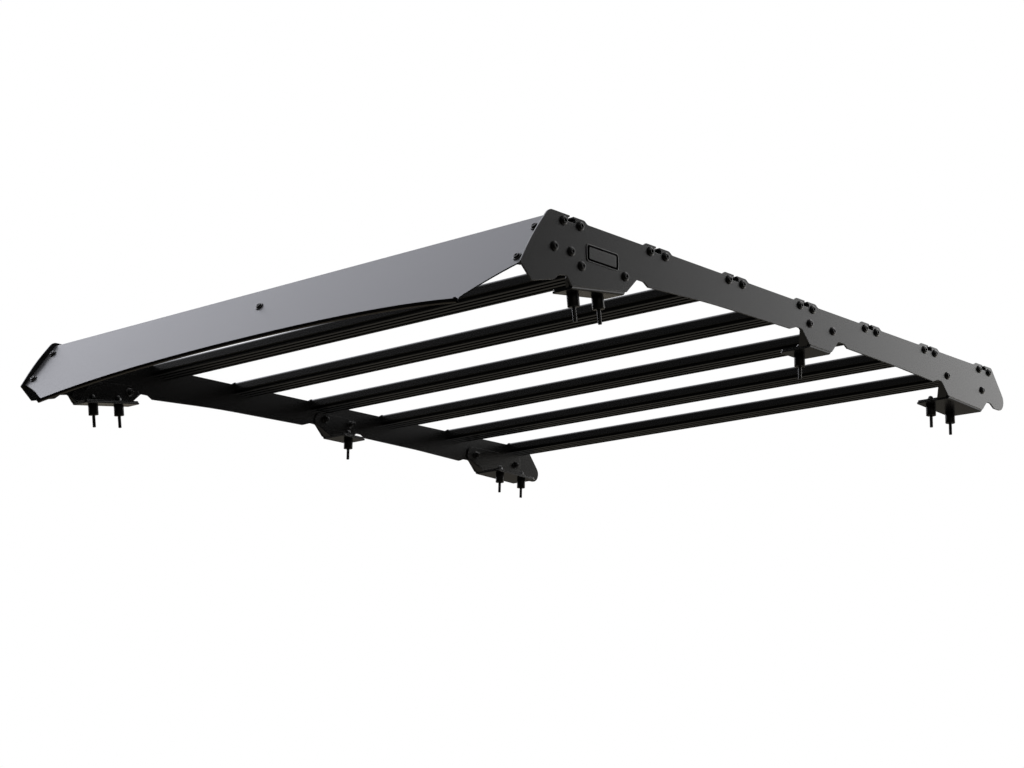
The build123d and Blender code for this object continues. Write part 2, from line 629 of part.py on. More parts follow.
# ------------------------------------------------------------------
# Bare name plates on the outer faces
# ------------------------------------------------------------------
badge_y, badge_z, badge_w, badge_h = 67.8, -34.8, 73.0, 25.6
with BuildPart() as badge_right:
    with BuildSketch(Plane.YZ.offset(plate_out)):
        with Locations(at(badge_y, badge_z)):
            RectangleRounded(badge_w, badge_h, 4.0)
    extrude(amount=1.2)
    with BuildSketch(Plane.YZ.offset(plate_out + 1.2)):
        with Locations(at(badge_y, badge_z)):
            RectangleRounded(badge_w - 2.4, badge_h - 2.4, 3.0)
            RectangleRounded(badge_w - 5.6, badge_h - 5.6, 2.0, mode=Mode.SUBTRACT)
    extrude(amount=-0.6, mode=Mode.SUBTRACT)
badge_right.part.label = "badge_right"
export_step(badge_right.part, "parts/badge_right.step")

with BuildPart() as badge_left:
    mirror(badge_right.part, about=Plane.YZ)
badge_left.part.label = "badge_left"
export_step(badge_left.part, "parts/badge_left.step")
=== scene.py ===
import json
import math

import bmesh
import bpy
from mathutils import Matrix, Vector
from mathutils.bvhtree import BVHTree

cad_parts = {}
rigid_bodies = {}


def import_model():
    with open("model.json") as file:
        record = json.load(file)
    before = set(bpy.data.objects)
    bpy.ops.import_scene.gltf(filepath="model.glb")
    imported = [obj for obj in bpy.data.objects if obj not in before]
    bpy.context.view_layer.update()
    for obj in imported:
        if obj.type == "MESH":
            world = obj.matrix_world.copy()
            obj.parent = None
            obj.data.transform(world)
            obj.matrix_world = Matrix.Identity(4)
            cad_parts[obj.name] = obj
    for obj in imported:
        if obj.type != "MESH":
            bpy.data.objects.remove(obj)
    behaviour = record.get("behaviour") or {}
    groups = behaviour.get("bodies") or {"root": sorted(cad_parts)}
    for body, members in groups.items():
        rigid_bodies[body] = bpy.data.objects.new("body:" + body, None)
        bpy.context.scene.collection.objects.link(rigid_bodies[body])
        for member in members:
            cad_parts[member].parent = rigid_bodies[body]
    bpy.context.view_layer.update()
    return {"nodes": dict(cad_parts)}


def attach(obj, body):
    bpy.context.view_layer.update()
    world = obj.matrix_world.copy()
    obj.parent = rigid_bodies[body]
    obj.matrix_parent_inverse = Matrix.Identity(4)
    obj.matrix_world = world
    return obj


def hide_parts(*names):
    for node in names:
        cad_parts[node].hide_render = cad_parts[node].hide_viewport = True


for old in list(bpy.data.objects):
    bpy.data.objects.remove(old)

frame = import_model()
NODES = frame["nodes"]

MM = 0.001
scene = bpy.context.scene

# ------------------------------------------------------------------
# dimensions repeated from the CAD, millimetres
# ------------------------------------------------------------------
SLAT_Y0, BOLT_Z = -566.225, 133.408
PLATE_OUT, PLATE_T = 577.7, 3.0
PLATE_IN = PLATE_OUT - PLATE_T
BRACKET_T = 3.0
BOLT_PAIR = 36.93
HEAD_R, HEAD_H = 7.0, 4.2
DEFL_Y, DEFL_Z = -51.27, -4.85
DEFL_DY, DEFL_DZ = -0.58187, -0.81328
NRM_Y, NRM_Z = -DEFL_DZ, DEFL_DY
SHEET_T = 2.0
SPACER_H, SPACER_R, STUD_BELOW = 20.0, 9.0, 41.8
FEET = {
    "front": ((1.0, -95.3), (120.4, -79.0), 39.5, 554.7, (28.2, 84.2)),
    "middle": ((608.8, -65.2), (670.6, -65.8), 60.0, 535.9, (639.6,)),
    "rear": ((1063.4, -74.7), (1185.0, -79.8), 68.0, 526.6, (1087.2, 1157.2)),
}
GUSSET_TOPS = {"front": (-8.6, -81.6), "middle": (581.5, -35.0), "rear": (1031.5, -40.0)}
LOWER_BOLTS = [(-38.5, -42.0), (-2.0, -41.7), (21.0, -58.0), (120.0, -52.0),
               (609.0, -25.5), (678.0, -25.2), (1060.0, -33.5), (1189.0, -38.5)]
SLAT_BOLTS = [(200.0 * i + s * BOLT_PAIR / 2, 0.0) for i in range(7) for s in (-1, 1)]
DEFL_BOLTS = [(-559.6, 12.3), (-559.6, 76.2), (0.0, 33.0), (559.6, 12.3), (559.6, 76.2)]
TAU = 2 * math.pi


def at(y, z):
    return y + SLAT_Y0, z + BOLT_Z


def sheet_at(s, off):
    return at(DEFL_Y + DEFL_DY * s + NRM_Y * off, DEFL_Z + DEFL_DZ * s + NRM_Z * off)


# ------------------------------------------------------------------
# camera: the photograph's viewpoint
# ------------------------------------------------------------------
cam_data = bpy.data.cameras.new("camera")
cam = bpy.data.objects.new("camera", cam_data)
scene.collection.objects.link(cam)
cam_data.sensor_fit = "HORIZONTAL"
cam_data.sensor_width = 36.0
cam_data.lens = 68.17
cam_data.shift_x, cam_data.shift_y = -0.00022, 0.0002
cam_data.clip_start, cam_data.clip_end = 0.1, 200.0
right, up = Vector((0.7506, 0.6608, 0.0)).normalized(), Vector((0.1481, -0.1682, 0.9746))
back = right.cross(up).normalized()
up = back.cross(right)
rot = Matrix((right, up, back)).transposed().to_4x4()
cam.matrix_world = Matrix.Translation((2.237638, -2.578566, -0.698218)) @ rot
scene.camera = cam


# ------------------------------------------------------------------
# materials
# ------------------------------------------------------------------
def tree(name):
    mat = bpy.data.materials.new(name)
    mat.use_nodes = True
    nt = mat.node_tree
    for n in list(nt.nodes):
        nt.nodes.remove(n)
    out = nt.nodes.new("ShaderNodeOutputMaterial")
    return mat, nt, out


def add(nt, kind, **values):
    node = nt.nodes.new(kind)
    for key, value in values.items():
        if key.startswith("in_"):
            node.inputs[int(key[3:]) if key[3:].isdigit() else key[3:].replace("_", " ")].default_value = value
        else:
            setattr(node, key, value)
    return node


def noise(nt, coord, scale, detail=2.0, rough=0.5, stretch=None):
    if stretch:
        m = add(nt, "ShaderNodeMapping")
        m.inputs["Scale"].default_value = stretch
        nt.links.new(coord, m.inputs["Vector"])
        coord = m.outputs[0]
    n = add(nt, "ShaderNodeTexNoise")
    n.inputs["Scale"].default_value = scale
    n.inputs["Detail"].default_value = detail
    n.inputs["Roughness"].default_value = rough
    nt.links.new(coord, n.inputs["Vector"])
    return n.outputs["Fac"]


def spread(nt, fac, lo, hi, f0=0.3, f1=0.7):
    r = add(nt, "ShaderNodeMapRange")
    r.inputs["From Min"].default_value, r.inputs["From Max"].default_value = f0, f1
    r.inputs["To Min"].default_value, r.inputs["To Max"].default_value = lo, hi
    nt.links.new(fac, r.inputs["Value"])
    return r.outputs["Result"]


def coat(name, dark, light, rough, rough_var, grain=900.0, bump=0.00006, bump_strength=0.25,
         spec=0.5, patch=9.0, stretch=None, tint=(1.0, 1.0, 1.0)):
    """Powder coat: slow colour drift, fine grain in colour and roughness, orange-peel bump."""
    mat, nt, out = tree(name)
    bsdf = add(nt, "ShaderNodeBsdfPrincipled")
    nt.links.new(bsdf.outputs[0], out.inputs["Surface"])
    coord = add(nt, "ShaderNodeTexCoord").outputs["Object"]
    slow = noise(nt, coord, patch, 3.0, 0.55, stretch)
    fine = noise(nt, coord, grain, 2.0, 0.6, stretch)
    both = add(nt, "ShaderNodeMix", data_type="FLOAT")
    both.inputs[0].default_value = 0.45
    nt.links.new(slow, both.inputs[2])
    nt.links.new(fine, both.inputs[3])
    ramp = add(nt, "ShaderNodeValToRGB")
    ramp.color_ramp.elements[0].position, ramp.color_ramp.elements[1].position = 0.32, 0.68
    ramp.color_ramp.elements[0].color = (*dark, 1)
    ramp.color_ramp.elements[1].color = (*light, 1)
    nt.links.new(both.outputs[0], ramp.inputs[0])
    nt.links.new(ramp.outputs[0], bsdf.inputs["Base Color"])
    nt.links.new(spread(nt, both.outputs[0], rough - rough_var, rough + rough_var), bsdf.inputs["Roughness"])
    bsdf.inputs["Specular IOR Level"].default_value = spec
    bsdf.inputs["Specular Tint"].default_value = (*tint, 1)
    b = add(nt, "ShaderNodeBump")
    b.inputs["Strength"].default_value = bump_strength
    b.inputs["Distance"].default_value = bump
    nt.links.new(fine, b.inputs["Height"])
    nt.links.new(b.outputs[0], bsdf.inputs["Normal"])
    return mat


MATS = {
    "plate_coat": coat("plate_powder", (0.0021, 0.0021, 0.0022), (0.0029, 0.0029, 0.0030), 0.24, 0.012,
                       grain=1400.0, bump=0.00002, bump_strength=0.08),
    # the deflector's black coat with its base colour lifted to a bluish grey: painted sheen standing in for the
    # sheet's glancing reflection
    "deflector_coat": coat("deflector_powder_painted_sheen", (0.062, 0.063, 0.069), (0.068, 0.069, 0.076), 0.30, 0.012,
                           grain=1400.0, bump=0.00002, bump_strength=0.08, spec=0.27, tint=(0.945, 0.955, 1.0)),
    "deflector_edge": coat("deflector_cut_edge", (0.0020, 0.0020, 0.0021), (0.0030, 0.0030, 0.0032), 0.45, 0.03,
                           grain=1400.0, bump=0.00002, bump_strength=0.08, spec=0.06),
    "slat_coat": coat("slat_powder", (0.0030, 0.0030, 0.0031), (0.0042, 0.0042, 0.0043), 0.25, 0.015,
                      grain=900.0, stretch=(0.12, 1.0, 1.0), bump=0.00002, bump_strength=0.08, spec=0.35),
    # darker, duller copy of the slat coat for the grooves and set-back sides: painted shade
    "slat_recess": coat("slat_recess_powder", (0.0006, 0.0006, 0.0006), (0.0012, 0.0012, 0.0012), 0.38, 0.03,
                        grain=900.0, stretch=(0.12, 1.0, 1.0), bump=0.00002, bump_strength=0.08, spec=0.10),
    "trim_rubber": coat("trim_rubber_compound", (0.0018, 0.0017, 0.0016), (0.0030, 0.0028, 0.0026), 0.60, 0.05,
                        grain=1600.0, bump=0.00006, bump_strength=0.25, spec=0.0),
    # lighter, cream-tinted copy of the black rubber for the bead's underside: painted warm reflection of light from
    # below
    "trim_bead": coat("trim_rubber_bead_painted_reflection", (0.016, 0.014, 0.011), (0.021, 0.018, 0.014), 0.45, 0.04,
                      grain=1600.0, bump=0.00004, bump_strength=0.2, spec=0.5, tint=(1.0, 0.92, 0.80)),
    "spacer_coat": coat("spacer_anodised", (0.0020, 0.0020, 0.0021), (0.0032, 0.0032, 0.0033), 0.30, 0.03,
                        grain=500.0, stretch=(1.0, 1.0, 6.0), bump=0.00002, bump_strength=0.12, spec=0.15,
                        tint=(1.0, 0.96, 0.90)),
    "fastener_coat": coat("fastener_oxide", (0.0016, 0.0016, 0.0016), (0.0024, 0.0024, 0.0025), 0.23, 0.015,
                          grain=1500.0, bump=0.00002, bump_strength=0.08, spec=0.25),
    "screw_coat": coat("screw_oxide", (0.0010, 0.0010, 0.0010), (0.0018, 0.0018, 0.0019), 0.23, 0.015,
                       grain=1500.0, bump=0.00002, bump_strength=0.08, spec=0.15),
    "badge_coat": coat("badge_plastic", (0.0030, 0.0030, 0.0031), (0.0040, 0.0040, 0.0041), 0.28, 0.02,
                       grain=2200.0, bump=0.00002, bump_strength=0.1),
    # near-black copy of the badge plastic without reflection, for the groove round the plate: painted shade
    "badge_line": coat("badge_line_plastic", (0.0006, 0.0006, 0.0006), (0.0012, 0.0012, 0.0012), 0.62, 0.05,
                       grain=2200.0, spec=0.0),
}


# ------------------------------------------------------------------
# pieces
# ------------------------------------------------------------------
def piece_from(bm, name, slot, node=None, smooth_angle=35.0, mats=None):
    """Turns a bmesh into a named piece on the root body."""
    me = bpy.data.meshes.new(name)
    bm.normal_update()
    bm.to_mesh(me)
    bm.free()
    ob = bpy.data.objects.new(name, me)
    scene.collection.objects.link(ob)
    for m in (mats or [slot]):
        me.materials.append(MATS[m])
    me.polygons.foreach_set("use_smooth", [True] * len(me.polygons))
    if smooth_angle:
        me.set_sharp_from_angle(angle=math.radians(smooth_angle))
    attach(ob, "root")
    if node:
        for n in ([node] if isinstance(node, str) else node):
            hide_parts(n)
    return ob


def softened(node, name, slot, width, segments=2, angle=38.0, smooth_angle=30.0, keep=None, mats=None, pick=None):
    """The CAD node's shape with every sheet edge rounded the way a coating rounds it.

    keep: (y, z), (y, z), distance - edges near this side-view line stay as they are.
    pick: faces for which it holds get the second material of mats.
    """
    bm = bmesh.new()
    bm.from_mesh(NODES[node].data)
    bmesh.ops.remove_doubles(bm, verts=bm.verts, dist=4e-6)
    bmesh.ops.dissolve_limit(bm, angle_limit=math.radians(0.35), verts=bm.verts, edges=bm.edges,
                             use_dissolve_boundaries=False)
    bm.normal_update()
    skin = BVHTree.FromBMesh(bm)
    chosen = []
    for e in bm.edges:
        if len(e.link_faces) != 2 or e.calc_face_angle(0.0) < math.radians(angle):
            continue
        if keep:
            mid = (e.verts[0].co + e.verts[1].co) / 2
            p, a, b = Vector((mid.y, mid.z)), Vector(keep[0]) * MM, Vector(keep[1]) * MM
            t = min(1.0, max(0.0, (p - a).dot(b - a) / (b - a).length_squared))
            if (p - a - t * (b - a)).length < keep[2] * MM:
                continue
        chosen.append(e)
    bmesh.ops.bevel(bm, geom=chosen, offset=width * MM, offset_type="OFFSET", segments=segments, profile=0.5,
                    affect="EDGES", clamp_overlap=False, miter_outer="ARC", spread=0.1 * MM)
    # nothing may stand proud of the sheet, nor sink into it by more than the rounding
    for v in bm.verts:
        loc, normal, _, dist = skin.find_nearest(v.co)
        if dist > 0.6 * width * MM or (dist > 4e-6 and (v.co - loc).dot(normal) > 0):
            v.co = loc
    bmesh.ops.remove_doubles(bm, verts=bm.verts, dist=1e-6)
    bmesh.ops.dissolve_degenerate(bm, edges=bm.edges, dist=1e-7)
    if pick:
        bm.normal_update()
        for f in bm.faces:
            f.material_index = 1 if pick(f) else 0
    out = piece_from(bm, name, slot, node, smooth_angle, mats)
    weighted = out.modifiers.new("even_shading", "WEIGHTED_NORMAL")
    weighted.keep_sharp = True
    return out


def hex_radius(theta, apothem):
    return apothem / math.cos((theta + math.pi / 6) % (math.pi / 3) - math.pi / 6)


def rings(bm, matrix, rows, count=48, hexes=(), close_start=True, close_end=True):
    """Lofts rows of (radius or apothem, height, is_hex share) round the local z axis."""
    loops = []
    for r, z, h in rows:
        loop = []
        for i in range(count):
            t = TAU * i / count
            rad = r
            if h:
                rad = r * (1 - h) + hex_radius(t, r) * h
            loop.append(bm.verts.new(matrix @ Vector((rad * math.cos(t) * MM, rad * math.sin(t) * MM, z * MM))))
        loops.append(loop)
    for a, b in zip(loops, loops[1:]):
        for i in range(count):
            j = (i + 1) % count
            bm.faces.new((a[i], a[j], b[j], b[i]))
    if close_start:
        centre = bm.verts.new(matrix @ Vector((0, 0, rows[0][1] * MM)))
        for i in range(count):
            bm.faces.new((loops[0][(i + 1) % count], loops[0][i], centre))
    if close_end:
        centre = bm.verts.new(matrix @ Vector((0, 0, rows[-1][1] * MM)))
        for i in range(count):
            bm.faces.new((loops[-1][i], loops[-1][(i + 1) % count], centre))


def seat(origin, axis, spin_ref=(0, 0, 1)):
    """Local z along axis, at origin (millimetres)."""
    z = Vector(axis).normalized()
    x = Vector(spin_ref)
    x = (x - x.dot(z) * z).normalized()
    y = z.cross(x)
    m = Matrix((x, y, z)).transposed().to_4x4()
    return Matrix.Translation(Vector(origin) * MM) @ m


def thread(bm, matrix, z0, z1, r=3.0, pitch=1.0, depth=0.55, count=24, tip=0.7):
    """Screw thread from z0 down to z1 as one helical surface, with a chamfered tip."""
    per = 8
    n = int(round((z0 - z1) / pitch * per))
    loops = []
    for k in range(n + 1):
        z = z0 - (z0 - z1) * k / n
        loop = []
        for i in range(count):
            t = i / count
            ph = ((z0 - z) / pitch - t) % 1.0
            tri = 1 - abs(2 * ph - 1)
            crest = min(1.0, max(0.0, (tri - 0.12) / 0.76))
            rad = r - depth * (1 - crest)
            rad = min(rad, r - tip + (z - z1)) if z - z1 < tip else rad
            a = TAU * t
            loop.append(bm.verts.new(matrix @ Vector((rad * math.cos(a) * MM, rad * math.sin(a) * MM, z * MM))))
        loops.append(loop)
    for a, b in zip(loops, loops[1:]):
        for i in range(count):
            j = (i + 1) % count
            bm.faces.new((a[j], a[i], b[i], b[j]))
    for loop, z, flip in ((loops[0], z0, False), (loops[-1], z1, True)):
        centre = bm.verts.new(matrix @ Vector((0, 0, z * MM)))
        for i in range(count):
            j = (i + 1) % count
            f = (loop[j], loop[i], centre) if flip else (loop[i], loop[j], centre)
            bm.faces.new(f)


def head_rows():
    """Flanged head with a hexagon socket, from under the flange up and into the socket."""
    return [(3.0, 0.0, 0), (6.75, 0.0, 0), (6.95, 0.10, 0), (7.0, 0.30, 0), (7.0, 1.35, 0), (6.92, 1.58, 0),
            (6.72, 1.68, 0), (5.05, 1.70, 0), (4.84, 1.76, 0), (4.76, 1.95, 0), (4.70, 3.45, 0), (4.60, 3.82, 0),
            (4.38, 4.08, 0), (4.05, 4.18, 0), (3.0, 4.19, 0), (2.42, 4.17, 0.45), (2.20, 4.02, 0.95),
            (2.15, 3.80, 1.0), (2.10, 1.75, 1.0), (1.9, 1.6, 0.9), (1.0, 1.25, 0.2)]


def bolt(bm, matrix, reach, threaded=None):
    rings(bm, matrix, head_rows(), close_start=False)
    z_thread = -reach + (threaded or 3.0)
    rings(bm, matrix, [(3.0, 0.0, 0), (3.0, z_thread, 0)], count=24, close_start=False, close_end=False)
    thread(bm, matrix, z_thread, -reach)


def flange_nut(bm, matrix, flange=7.0, flat=5.0, height=6.0):
    """Serrated-flange hexagon nut standing on z = 0."""
    rows = [(3.05, 0.0, 0), (flange - 0.25, 0.0, 0), (flange, 0.18, 0), (flange, 0.75, 0), (flange - 0.2, 1.0, 0),
            (flat + 0.9, 1.5, 0.3), (flat + 0.1, 1.75, 0.95), (flat, 2.0, 1.0), (flat, height - 0.75, 1.0),
            (flat - 0.07, height - 0.4, 0.72), (flat - 0.3, height - 0.1, 0.28), (flat - 0.65, height, 0.0),
            (3.7, height, 0), (3.05, height - 0.5, 0), (3.05, 0.0, 0)]
    rings(bm, matrix, rows, close_start=False, close_end=False)


# sheet-metal and extruded pieces
for side in ("left", "right"):
    softened(f"side_plate_{side}", f"plate_{side}", "plate_coat", 0.55, 3)
    softened(f"deflector_bracket_{side}", f"deflector_angle_{side}", "plate_coat", 0.45, 2)
    for foot, (a, b, depth, stud_x, stud_ys) in FEET.items():
        n = math.hypot(b[0] - a[0], b[1] - a[1])
        c, s = (b[0] - a[0]) / n, (b[1] - a[1]) / n
        low = at(a[0] + c - s * PLATE_T, a[1] + s + c * PLATE_T)
        softened(f"foot_bracket_{foot}_{side}", f"foot_angle_{foot}_{side}", "plate_coat", 0.45, 2,
                 keep=(low, at(*GUSSET_TOPS[foot]), 5.0))
softened("deflector_centre_bracket", "deflector_centre_angle", "plate_coat", 0.4, 2)


def cut_edge(face):
    """The cut edges of the deflector's corners and arch, not its faces or its lip."""
    down = (face.calc_center_median() / MM - Vector((0, *sheet_at(0, 0)))).dot(Vector((0, DEFL_DY, DEFL_DZ)))
    return down > 70 and abs(face.normal.dot(Vector((0, NRM_Y, NRM_Z)))) < 0.985


# the sheet's faces get the grey with painted sheen; its cut edges keep the coat's near-black
softened("wind_deflector", "deflector_sheet", "deflector_coat", 0.7, 3, mats=["deflector_coat", "deflector_edge"],
         pick=cut_edge)


def recess(middle):
    """The grooves under a slat and the set-back sides below its overhanging edges, which get painted shade: a darker,
    duller copy of the slat's coat.
    """
    def inside(face):
        c = face.calc_center_median() / MM
        side, up = abs(c.y - middle), c.z - BOLT_Z + 10.6
        if side < 20:
            return 0.3 < up < 3.4
        return side > 22 and 0.9 < up < 5.2 and (abs(face.normal.y) > 0.7 or face.normal.z < -0.7)
    return inside


for i in range(1, 8):
    softened(f"slat_{i}", f"slat_section_{i}", "slat_coat", 0.18, 2, mats=["slat_coat", "slat_recess"],
             pick=recess(SLAT_Y0 + 200.0 * (i - 1)))

# edge trim: U section with rounded lips and a full, round bead along the arched edge
ARCH_MID, ARCH_2, ARCH_4, ARCH_HALF, TRIM_HALF = 113.8, 20.4, 12.1, 486.0, 484.0
LUG_X, LUG_H = 478.6, 4.15


def arch(x):
    u = x / ARCH_HALF
    return ARCH_MID + ARCH_2 * u * u + ARCH_4 * u ** 4


def arch_slope(x):
    u = x / ARCH_HALF
    return (2 * ARCH_2 * u + 4 * ARCH_4 * u ** 3) / ARCH_HALF


def trim_section():
    """(offset across the sheet from its front face, distance beyond the edge)"""
    pts = []
    lip, out = 1.55, SHEET_T + 1.55
    # outside, front lip tip, down, round the bead, up the rear, over its tip, and back inside
    for k in range(7):
        a = math.pi * k / 6
        pts.append((-lip / 2 + lip / 2 * math.cos(a), -3.6 - 0.45 * math.sin(a)))
    for k in range(1, 12):
        a = math.pi + math.pi * k / 12
        c = SHEET_T / 2
        pts.append((c + (c + lip) * math.cos(a), 0.35 - 2.0 * math.sin(a)))
    pts.append((out, 0.2))
    for k in range(7):
        a = math.pi * k / 6
        pts.append((SHEET_T + lip / 2 + lip / 2 * math.cos(a), -3.6 - 0.45 * math.sin(a)))
    pts.append((SHEET_T, 0.0))
    pts.append((0.0, 0.0))
    return pts


bm = bmesh.new()
section = trim_section()
loops = []
steps = 200
for k in range(steps + 1):
    x = -TRIM_HALF + 2 * TRIM_HALF * k / steps
    slope = arch_slope(x)
    n = math.hypot(1, slope)
    loop = []
    for off, d in section:
        xs, s = x - d * slope / n, arch(x) + d / n
        y, z = sheet_at(s, off)
        loop.append(bm.verts.new(Vector((xs, y, z)) * MM))
    loops.append(loop)
for a, b in zip(loops, loops[1:]):
    for i in range(len(section)):
        j = (i + 1) % len(section)
        f = bm.faces.new((a[i], a[j], b[j], b[i]))
        # faces round the bottom of the bead get the cream material: painted warm reflection
        f.material_index = 1 if 10 <= i <= 16 else 0
bm.faces.new(list(reversed(loops[0])))
bm.faces.new(loops[-1])
# small lug in front of the sheet at each end
for sg in (-1, 1):
    stations = []
    for x, inset in ((LUG_X + 0.02, 0.7), (LUG_X + 0.2, 0.3), (LUG_X + 0.7, 0.03), (TRIM_HALF - 0.9, 0.03),
                     (TRIM_HALF - 0.3, 0.3), (TRIM_HALF - 0.05, 0.7)):
        lo_s, hi_s = arch(x) - 3.95 + inset, arch(x) + 2.3 - inset
        front, r = -LUG_H + inset, 0.9
        ring_pts = [(-0.05, lo_s)]
        for k in range(5):
            q = math.pi / 2 * k / 4
            ring_pts.append((front + r - r * math.sin(q), lo_s + r - r * math.cos(q)))
        for k in range(5):
            q = math.pi / 2 * k / 4
            ring_pts.append((front + r - r * math.cos(q), hi_s - r + r * math.sin(q)))
        ring_pts.append((-0.05, hi_s))
        stations.append([bm.verts.new(Vector((sg * x, *sheet_at(d, off))) * MM) for off, d in ring_pts])
    for a, b in zip(stations, stations[1:]):
        for i in range(len(a)):
            j = (i + 1) % len(a)
            bm.faces.new((a[i], a[j], b[j], b[i]))
    bm.faces.new(stations[0])
    bm.faces.new(list(reversed(stations[-1])))
bmesh.ops.recalc_face_normals(bm, faces=bm.faces)
piece_from(bm, "edge_trim", "trim_rubber", "deflector_edge_trim", 50, mats=["trim_rubber", "trim_bead"])

# fasteners
for side, sg in (("left", -1), ("right", 1)):
    bm = bmesh.new()
    for y, z in SLAT_BOLTS:
        bolt(bm, seat((sg * PLATE_OUT, *at(y, z)), (sg, 0, 0), (0, math.sin(y), math.cos(y))), 22.0)
    piece_from(bm, f"slat_screws_{side}", "fastener_coat", f"slat_bolts_{side}")
    bm = bmesh.new()
    for y, z in LOWER_BOLTS:
        bolt(bm, seat((sg * PLATE_OUT, *at(y, z)), (sg, 0, 0), (0, math.sin(y), math.cos(y))), 15.5)
    piece_from(bm, f"bracket_screws_{side}", "fastener_coat", f"bracket_bolts_{side}")
    bm = bmesh.new()
    for y, z in LOWER_BOLTS:
        flange_nut(bm, seat((sg * (PLATE_IN - BRACKET_T), *at(y, z)), (-sg, 0, 0),
                            (0, math.cos(3 * y), math.sin(3 * y))), 7.8, 5.5, 6.6)
    piece_from(bm, f"flange_nuts_{side}", "fastener_coat", f"bracket_nuts_{side}")

    bm_s, bm_t = bmesh.new(), bmesh.new()
    for a, b, depth, stud_x, stud_ys in FEET.values():
        n = math.hypot(b[0] - a[0], b[1] - a[1])
        c, s = (b[0] - a[0]) / n, (b[1] - a[1]) / n
        for y in stud_ys:
            y_s, z_s = at(y, a[1] + (y - a[0]) * s / c)
            upright = seat((sg * stud_x, y_s, z_s), (0, -s, c), (math.cos(y), math.sin(y), 0))
            rr = SPACER_R
            rings(bm_s, upright, [(3.2, -0.6, 0), (3.6, -0.05, 0), (rr - 0.8, -0.05, 0), (rr - 0.3, -0.2, 0),
                                  (rr, -0.75, 0), (rr, -19.2, 0), (rr - 0.15, -19.65, 0), (rr - 0.6, -19.95, 0),
                                  (rr - 0.8, -20.0, 0), (3.75, -20.0, 0), (3.3, -19.6, 0), (3.2, -19.2, 0),
                                  (3.2, -0.6, 0)],
                  count=64, close_start=False, close_end=False)
            # washer, domed cap nut and shank
            rows = [(3.0, 6.0, 0), (6.9, 6.0, 0), (7.15, 6.15, 0), (7.2, 6.4, 0), (7.2, 7.2, 0), (7.1, 7.5, 0),
                    (6.9, 7.6, 0), (5.3, 7.62, 0), (5.0, 7.75, 1.0), (5.0, 11.9, 1.0), (4.95, 12.2, 0.72),
                    (4.85, 12.45, 0.28), (4.75, 12.65, 0)]
            rows += [(4.75 * math.cos(math.radians(q)), 12.65 + 4.75 * math.sin(math.radians(q)), 0)
                     for q in range(9, 86, 9)]
            rings(bm_t, upright, rows, close_start=False)
            rings(bm_t, upright, [(3.0, 6.0, 0), (3.0, -20.0, 0), (2.55, -20.15, 0), (2.5, -21.2, 0)], count=24,
                  close_start=False, close_end=False)
            thread(bm_t, upright, -21.2, -STUD_BELOW, depth=0.08)
    piece_from(bm_s, f"spacers_{side}", "spacer_coat", f"foot_spacers_{side}")
    piece_from(bm_t, f"studs_{side}", "fastener_coat", f"mounting_studs_{side}")

bm, bm_n = bmesh.new(), bmesh.new()
for x, s in DEFL_BOLTS:
    y, z = sheet_at(s, 0)
    bolt(bm, seat((x, y, z), (0, -NRM_Y, -NRM_Z), (math.cos(x), 0, math.sin(x) + 0.2)), 13.0)
    y, z = sheet_at(s, SHEET_T + (2.5 if x == 0 else BRACKET_T))
    flange_nut(bm_n, seat((x, y, z), (0, NRM_Y, NRM_Z), (math.sin(x), 0.1, math.cos(x))))
piece_from(bm, "deflector_screws", "fastener_coat", "deflector_bolts", mats=["screw_coat"])
piece_from(bm_n, "deflector_flange_nuts", "fastener_coat", "deflector_nuts")

bm = bmesh.new()
for x in (-12, 12):
    under = seat((x, SLAT_Y0, BOLT_Z - 10.6 - 2.5), (0, 0, -1), (1, 0.3, 0))
    rings(bm, under, [(2.5, 0.0, 0), (4.3, 0.0, 0), (4.55, 0.15, 0), (4.6, 0.45, 0), (4.5, 1.2, 0), (4.1, 2.0, 0),
                      (3.4, 2.55, 0), (2.6, 2.78, 0), (1.9, 2.8, 0.3), (1.7, 2.6, 1.0), (1.65, 1.2, 1.0),
                      (0.8, 1.0, 0.2)], count=36, close_start=False)
    thread(bm, under, 0.0, -7.0, r=2.5, pitch=0.8, depth=0.42, count=20, tip=0.5)
piece_from(bm, "centre_screws", "fastener_coat", "centre_bracket_screws")

# bare name plates
BADGE_Y, BADGE_Z, BADGE_W, BADGE_H = 67.8, -34.8, 73.0, 25.6


def rounded_rect(w, h, r, n=6):
    pts = []
    for cx, cy, a0 in ((w / 2 - r, h / 2 - r, 0), (-w / 2 + r, h / 2 - r, 90),
                       (-w / 2 + r, -h / 2 + r, 180), (w / 2 - r, -h / 2 + r, 270)):
        for k in range(n + 1):
            a = math.radians(a0 + 90 * k / n)
            pts.append((cx + r * math.cos(a), cy + r * math.sin(a)))
    return pts


